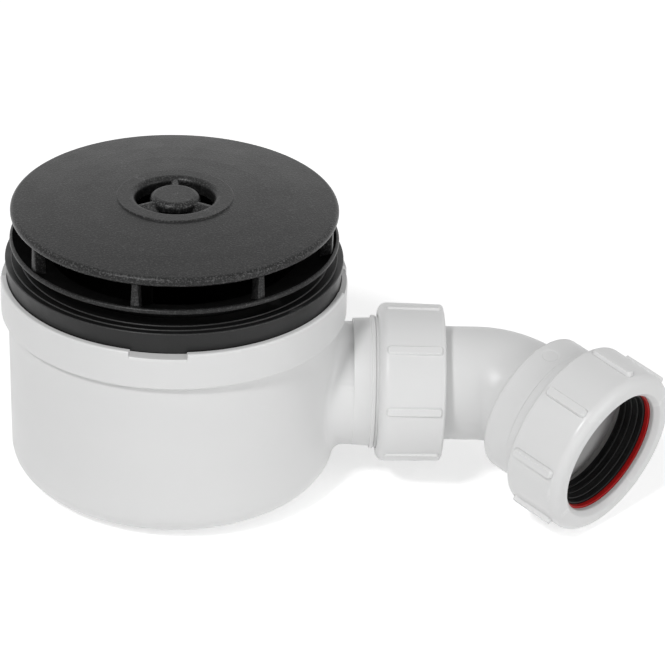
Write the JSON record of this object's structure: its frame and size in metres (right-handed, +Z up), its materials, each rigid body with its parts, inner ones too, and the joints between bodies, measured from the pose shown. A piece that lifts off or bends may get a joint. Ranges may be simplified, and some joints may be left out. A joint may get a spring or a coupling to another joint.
{
  "type": "shower trap",
  "caption": "Low shower waste trap: round cup body under a slotted lift-off cover, with a ribbed union nut and a swivelling bend that ends in a compression socket for a waste pipe.",
  "frame": {"origin": "middle of the flat base of the trap body", "axes": "+Z up along the body's axis, +X along the outlet neck, away from the body"},
  "size_m": [0.2248, 0.1156, 0.1079],
  "materials": {
    "white_plastic": "satin white moulded plastic",
    "black_plastic": "fine grained black plastic",
    "black_rubber": "smooth black rubber",
    "red_plastic": "dark red plastic"
  },
  "bodies": {
    "trap": {"trap_body": "white_plastic", "inlet_ring": "white_plastic", "body_seal": "black_rubber", "seal_cup": "white_plastic", "union_seal": "black_rubber"},
    "flange": {"clamp_flange": "black_plastic", "top_cover": "black_plastic", "dip_tube": "black_plastic", "dip_tube_ring": "black_rubber"},
    "union nut": {"union_nut": "white_plastic"},
    "bend": {"outlet_bend": "white_plastic", "slip_washer": "red_plastic", "pipe_seal": "black_rubber"},
    "compression nut": {"compression_nut": "white_plastic"}
  },
  "joints": [
    {"name": "flange_turn", "type": "hinge", "parent": "trap", "child": "flange", "pos_m": [0, 0, 0.066], "axis": [0, 0, 1], "continuous": true},
    {"name": "union_nut_turn", "type": "hinge", "parent": "trap", "child": "union nut", "pos_m": [0.0799, 0, 0.0302], "axis": [1, 0, 0], "continuous": true},
    {"name": "bend_swivel", "type": "hinge", "parent": "trap", "child": "bend", "pos_m": [0.0856, 0, 0.0302], "axis": [1, 0, 0], "continuous": true},
    {"name": "compression_nut_turn", "type": "hinge", "parent": "bend", "child": "compression nut", "pos_m": [0.13992, -0.02649, 0.02394], "axis": [0.7071, -0.6881, -0.1627], "continuous": true}
  ]
}
